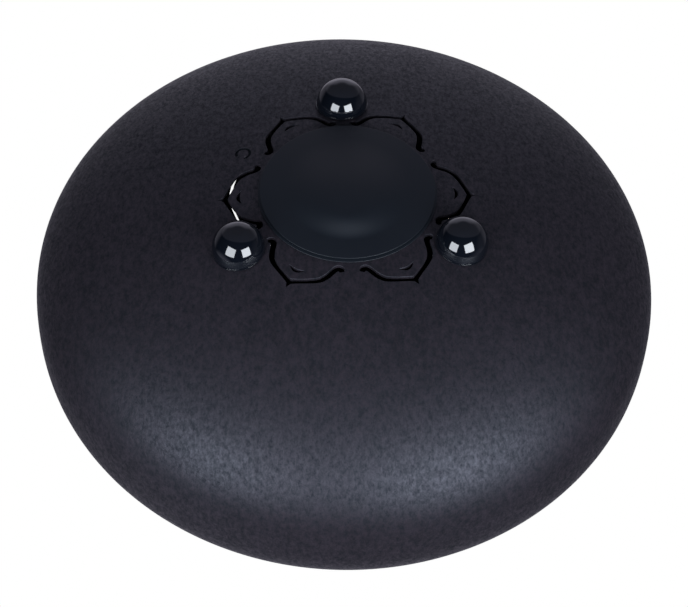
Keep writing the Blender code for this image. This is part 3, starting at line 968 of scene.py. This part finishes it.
def rounded(section, corners):
    """A section with an arc at some of its corners, given as {number: radius}."""
    points = []
    for i, corner in enumerate(section):
        if i not in corners:
            points.append(corner)
            continue
        here = Vector(corner)
        back = (Vector(section[i - 1]) - here).normalized()
        ahead = (Vector(section[(i + 1) % len(section)]) - here).normalized()
        half = back.angle(ahead) / 2
        centre = here + (back + ahead).normalized() * corners[i] / math.sin(half)
        start = here + back * corners[i] / math.tan(half) - centre
        end = here + ahead * corners[i] / math.tan(half) - centre
        sweep = start.angle_signed(end)
        for step in range(CORNER_STEPS + 1):
            spoke = start.copy()
            spoke.rotate(Matrix.Rotation(-sweep * step / CORNER_STEPS, 2))
            points.append(tuple(centre + spoke))
    return points


print("turned pieces have", ROUND_SEGMENTS, "segments")

# %% [markdown]
# The two shells meet at the equator in a weld that is ground flush before it is coated. Its outer side
# follows both domes up to the shells' edges, so that the coat runs over the joint with no line.

# %% Weld
WELD_STEPS = 4
BEAD_HEIGHT = 0.0004


def weld_section():
    """Closed section of the weld: flush outside, with a low bead on the inside."""
    outer = []
    for height, side in ((BOTTOM_HEIGHT, -1), (TOP_HEIGHT, 1)):
        rises = [WELD_HALF_WIDTH * (1 - i / WELD_STEPS) for i in range(WELD_STEPS + (side > 0))]
        row = [(radius_at(rise, height), EQUATOR_Z + side * rise) for rise in rises]
        outer.extend(row if side < 0 else row[::-1])
    inner_radius = DRUM_RADIUS - WALL
    inner = [
        (inner_radius, EQUATOR_Z + WELD_HALF_WIDTH),
        (inner_radius - BEAD_HEIGHT, EQUATOR_Z + WELD_HALF_WIDTH / 2),
        (inner_radius - BEAD_HEIGHT, EQUATOR_Z - WELD_HALF_WIDTH / 2),
        (inner_radius, EQUATOR_Z - WELD_HALF_WIDTH),
    ]
    return outer + inner


weld_mesh = turned_mesh("ground_weld", weld_section(), RING_SIDES * BLANK_RINGS, closed=True)
add_piece("ground_weld", weld_mesh, satin_coat, "equator_weld")

# %% [markdown]
# The pad is moulded to the dome it sits on. Its margin is flat, and its middle rises in a soft swell that
# is steeper on one side, where it catches the softboxes in one wide smile. A thin lip lies on the shell
# round the pad, and a groove above the lip runs in under the edge of the disc, so that from one side the
# edge shows as a dark line between two fine light ones. A recess under the pad takes the tape. Both are
# turned, and the swell is then added to the pad's upper points, because it isn't round.

# %% Pad and tape
PAD_EDGE_HEIGHT = 0.0021
PAD_SWELL_HEIGHT = 0.0037
PAD_SWELL_RADIUS = 0.75
PAD_SWELL_POWER = 1.25
PAD_SUMMIT = 0.46
PAD_RIM_WIDTH = 0.0045
PAD_ARRIS = 0.00022
PAD_DISC_RADIUS = PAD_RADIUS - 0.0005
PAD_DISC_EDGE = 0.0004
PAD_LIP_RADIUS = PAD_RADIUS + 0.0004
PAD_LIP_HEIGHT = 0.00035
PAD_GROOVE_DEPTH = 0.0010
SEAT_GAP = 0.0003
TAPE_THICKNESS = 0.0006
PAD_RINGS = 24
PAD_CROWN_RINGS = 60
PAD_SWELL_FLOOR = 0.8 * PAD_EDGE_HEIGHT


def under_skin(radius, distance):
    """Point that lies a distance under the bottom shell's skin, along the drum's axis."""
    return radius, EQUATOR_Z - skin_point(radius, BOTTOM_HEIGHT, distance)[1]


def skin_row(radius, distance, steps):
    """Points from the axis to a radius, all at a distance under the bottom shell's skin."""
    return [under_skin(radius * i / steps, distance) for i in range(steps + 1)]


def pad_swell(x, y):
    """Height of the swell at a place: its rings close in on a summit towards the photo's camera."""
    front = from_photo((0, -1, 0)).to_2d().normalized()
    summit = front * PAD_SUMMIT / PAD_SWELL_RADIUS
    spot = Vector((x, y)) / (PAD_RADIUS * PAD_SWELL_RADIUS) - summit
    room = 1 - summit.length_squared
    pull = spot.dot(summit)
    ring = (pull + math.sqrt(pull ** 2 + room * spot.length_squared)) / room
    fall = min(ring, 1.0) ** PAD_SWELL_POWER
    return PAD_SWELL_HEIGHT * (1 - smooth(fall))


def pad_section():
    """Half section of the pad, from the middle of its underside round its edge to its crown."""
    recess = PAD_RADIUS - PAD_RIM_WIDTH
    low = skin_row(recess, 2 * SEAT_GAP + TAPE_THICKNESS, PAD_RINGS)
    crown = skin_row(PAD_DISC_RADIUS, PAD_EDGE_HEIGHT, PAD_CROWN_RINGS)
    groove = PAD_DISC_RADIUS - PAD_GROOVE_DEPTH
    edge = [under_skin(*corner) for corner in (
        (recess, SEAT_GAP),
        (PAD_LIP_RADIUS, SEAT_GAP),
        (PAD_LIP_RADIUS, SEAT_GAP + PAD_LIP_HEIGHT),
        (groove, SEAT_GAP + PAD_LIP_HEIGHT),
        (groove, PAD_EDGE_HEIGHT - PAD_DISC_EDGE),
        (PAD_DISC_RADIUS, PAD_EDGE_HEIGHT - PAD_DISC_EDGE),
    )]
    first = len(low)
    corners = {
        first + 1: PAD_ARRIS / 2, first + 2: PAD_ARRIS, first + 5: PAD_ARRIS / 2, first + 6: PAD_ARRIS,
    }
    return rounded(low + edge + crown[::-1], corners)


pad_mesh = turned_mesh("moulded_pad", pad_section(), ROUND_SEGMENTS)
for vertex in pad_mesh.vertices:
    x, y, z = vertex.co
    if z < under_skin(math.hypot(x, y), PAD_SWELL_FLOOR)[1]:
        vertex.co.z = z - pad_swell(x, y)
add_piece("moulded_pad", pad_mesh, pad_skin, "centre_pad")

tape_radius = PAD_RADIUS - PAD_RIM_WIDTH - SEAT_GAP
tape_face = skin_row(tape_radius, SEAT_GAP, PAD_RINGS)
tape_back = skin_row(tape_radius, SEAT_GAP + TAPE_THICKNESS, PAD_RINGS)
tape_mesh = turned_mesh("foam_tape", tape_face + tape_back[::-1], ROUND_SEGMENTS)
add_piece("foam_tape", tape_mesh, foam_tape, "pad_adhesive")

# %% [markdown]
# A foot is one rubber moulding: a polished dome on a thin lip, a neck through the shell and a barb that
# snaps in behind it. It is turned once about its own axis. A Geometry Nodes tree then sets it on the shell,
# square to the slope, at its place in the ring of three, and flattens its sole softly where it stands.

# %% Feet
FOOT_SKIRT = 0.0013
FOOT_LIP_WIDTH = 0.0003
FOOT_LIP_HEIGHT = 0.0006
BARB_STEP = 0.0013
BARB_LENGTH = 0.0060
BARB_TIP_RADIUS = 0.0022
FOOT_SEGMENTS = 128
FOOT_RINGS = 48
SOLE_SOFTNESS = 0.00025
# Radius of the round at some of the section's corners, counted from the barb's tip
FOOT_CORNERS = {1: 0.0006, 2: 0.0004, 3: 0.0003, 6: 0.00006, 7: 0.00006}
FOOT_RISE, FOOT_SLOPE = dome_point(FOOT_CIRCLE, BOTTOM_HEIGHT)


def foot_section():
    """Half section of a foot from the barb's tip to the top of the dome."""
    inner_face = -WALL - SEAT_GAP
    neck = NECK_RADIUS - SEAT_GAP
    lip = FOOT_RADIUS + FOOT_LIP_WIDTH
    low = [
        (0.0, inner_face - BARB_LENGTH),
        (BARB_TIP_RADIUS, inner_face - BARB_LENGTH),
        (NECK_RADIUS + BARB_STEP, inner_face - BARB_STEP),
        (NECK_RADIUS + BARB_STEP, inner_face),
        (neck, inner_face),
        (neck, SEAT_GAP),
        (lip, SEAT_GAP),
        (lip, SEAT_GAP + FOOT_LIP_HEIGHT),
        (FOOT_RADIUS, SEAT_GAP + FOOT_LIP_HEIGHT),
    ]
    dome = []
    for i in range(FOOT_RINGS + 1):
        turn = math.pi / 2 * i / FOOT_RINGS
        dome.append((FOOT_RADIUS * math.cos(turn), FOOT_SKIRT + FOOT_RADIUS * math.sin(turn)))
    dome[-1] = (0.0, FOOT_SKIRT + FOOT_RADIUS)
    return rounded(low, FOOT_CORNERS) + dome


def foot_tree():
    """Geometry Nodes that set a foot on the bottom shell and flatten its sole."""
    tree, size = new_tree("set_foot", ("Circle", "Drop", "Slope", "Angle", "Softness"))
    foot = add_node(tree, "GeometryNodeTransform", None, {
        "Geometry": size["Geometry"], "Rotation": joined(tree, y=math.pi - size["Slope"]),
        "Translation": joined(tree, x=size["Circle"], z=size["Drop"]),
    })
    turn = joined(tree, z=size["Angle"])
    foot = add_node(tree, "GeometryNodeTransform", None, {"Geometry": foot, "Rotation": turn})
    x, y, z = parts_of(tree, add_node(tree, "GeometryNodeInputPosition"))
    soft = (z + (z * z + size["Softness"] * size["Softness"]).root()) / 2
    foot = add_node(tree, "GeometryNodeSetPosition", None, {
        "Geometry": foot, "Position": joined(tree, x, y, soft),
    })
    return close_tree(tree, foot, size["Finish"])


set_foot = foot_tree()
for number, angle in enumerate(foot_turns, 1):
    foot_mesh = turned_mesh("foot_moulding", foot_section(), FOOT_SEGMENTS)
    foot_mesh.set_sharp_from_angle(angle=SHARP_ANGLE)
    foot = placed(f"rubber_foot_{number}", foot_mesh)
    run_tree(foot, set_foot, {
        "Circle": FOOT_CIRCLE, "Drop": EQUATOR_Z - FOOT_RISE, "Slope": FOOT_SLOPE, "Angle": angle,
        "Softness": SOLE_SOFTNESS, "Finish": foot_skin,
    })
    hand_over(foot, f"foot_{number}")

# %% [markdown]
# The photograph has a pure white ground and no shadow, and looks at the drum from below. So the pale
# floor under the feet shows only from above, and lets light and every view from below through. The
# ground behind everything is white to the camera alone. The drum itself is lit by, and mirrors, a dim
# studio: a sum of soft bright parts, placed where the polished feet of the photograph show them.

# %% Floor and ground
FLOOR_RADIUS = 4.0
FLOOR_SIDES = 96
FLOOR_PAINT = (0.83, 0.83, 0.83, 1)
STUDIO_COLOUR = (0.99, 0.94, 1.10, 1)


def pale_floor():
    """A round pale floor at the height of the soles, seen from above only."""
    mesh = bpy.data.meshes.new("floor")
    form = bmesh.new()
    bmesh.ops.create_circle(form, cap_ends=True, segments=FLOOR_SIDES, radius=FLOOR_RADIUS)
    form.to_mesh(mesh)
    form.free()
    material, tree = new_material("pale_floor")[:2]
    front = 1 - add_node(tree, "ShaderNodeNewGeometry", out="Backfacing")
    seen = front * add_node(tree, "ShaderNodeLightPath", out="Is Camera Ray")
    clear = add_node(tree, "ShaderNodeBsdfTransparent")
    paint = add_node(tree, "ShaderNodeBsdfDiffuse", None, {"Color": FLOOR_PAINT})
    surface = add_node(tree, "ShaderNodeMixShader", None, {0: seen, 1: clear, 2: paint})
    add_node(tree, "ShaderNodeOutputMaterial", None, {"Surface": surface})
    mesh.materials.append(material)
    placed("floor", mesh)


def photo_direction(azimuth, elevation):
    """Unit direction in the drum's frame; azimuth runs from the photo's camera to the right."""
    turn = math.radians(azimuth)
    rise = math.radians(elevation)
    return from_photo((math.sin(turn) * math.cos(rise), -math.cos(turn) * math.cos(rise), math.sin(rise)))


# Each bright part of the studio: its azimuth and elevation, the radii where it starts to fade and where it
# ends, all in degrees, and its radiance
STUDIO = {
    "backdrop": (176, 50, 56, 62, 0.082),
    "low_backdrop": (180, 10, 8, 36, 0.34),
    "foot_of_backdrop": (180, -28, 10, 40, 0.36),
    "table_behind": (180, -60, 10, 40, 0.46),
    "table_below": (180, -88, 10, 40, 0.25),
    "back_corner_right": (140, -15, 8, 42, 0.12),
    "back_corner_left": (-140, -15, 8, 42, 0.19),
    "right_wall": (95, -10, 8, 45, 0.05),
    "table_right": (60, -40, 8, 40, 0.08),
    "table_left": (-60, -40, 8, 40, 0.27),
}


def studio_glow(tree):
    """Radiance of the studio toward each direction: the sum of its soft bright parts."""
    toward = add_node(tree, "ShaderNodeTexCoord", out="Generated")
    glow = 0
    for azimuth, elevation, inner, outer, radiance in STUDIO.values():
        near = add_node(tree, "ShaderNodeVectorMath", {"operation": "DOT_PRODUCT"}, {
            0: toward, 1: photo_direction(azimuth, elevation),
        }, out="Value")
        glow = near.eased(math.cos(math.radians(outer)), math.cos(math.radians(inner))) * radiance + glow
    return glow


def white_ground():
    """World that is white to the camera and a dim studio to everything else."""
    world = bpy.data.worlds.new("studio")
    world.use_nodes = True
    tree = world.node_tree
    tree.nodes.clear()
    seen = add_node(tree, "ShaderNodeLightPath", out="Is Camera Ray")
    ground = add_node(tree, "ShaderNodeBackground", None, {"Color": WHITE, "Strength": 1.0})
    studio = add_node(tree, "ShaderNodeBackground", None, {
        "Color": STUDIO_COLOUR, "Strength": studio_glow(tree),
    })
    mixed = add_node(tree, "ShaderNodeMixShader", None, {0: seen, 1: studio, 2: ground})
    add_node(tree, "ShaderNodeOutputWorld", None, {"Surface": mixed})
    bpy.context.scene.world = world


pale_floor()
white_ground()
bpy.context.scene.view_settings.view_transform = "Standard"
print("floor radius", FLOOR_RADIUS)

# %% [markdown]
# Two square softboxes stand left and right of the camera, low over the underside, and mirror themselves
# in the domes of the feet. One more lights the playing side, so that the drum looks right from above. It
# stands straight behind the drum as the photograph's camera sees it, so none of its light is seen there.

# %% Lamps
BOX_SIZE = 0.42
BOX_ASIDE = 0.347
BOX_BEFORE = 0.514
BOX_HEIGHT = 0.275
LEFT_RADIANCE = 5.5
RIGHT_RADIANCE = 7.2
TOP_BOX_SIZE = 0.24
TOP_BOX_DISTANCE = 0.8
TOP_RADIANCE = 35.0


def softbox(name, place, size, radiance):
    """A square lamp at a place in the photograph's directions that looks at the drum's middle."""
    toward = from_photo(place)
    data = bpy.data.lights.new(name, "AREA")
    data.shape = "SQUARE"
    data.size = size
    data.energy = radiance * math.pi * size ** 2
    lamp = placed(name, data)
    lamp.rotation_mode = "QUATERNION"
    lamp.rotation_quaternion = toward.to_track_quat("Z", "Y")
    lamp.location = Vector((0, 0, EQUATOR_Z)) + toward


softbox("left_softbox", (-BOX_ASIDE, -BOX_BEFORE, BOX_HEIGHT), BOX_SIZE, LEFT_RADIANCE)
softbox("right_softbox", (BOX_ASIDE, -BOX_BEFORE, BOX_HEIGHT), BOX_SIZE, RIGHT_RADIANCE)
behind = TOP_BOX_DISTANCE * Vector((0, math.cos(CAMERA_ELEVATION), -math.sin(CAMERA_ELEVATION)))
softbox("top_softbox", behind, TOP_BOX_SIZE, TOP_RADIANCE)
print("three softboxes")
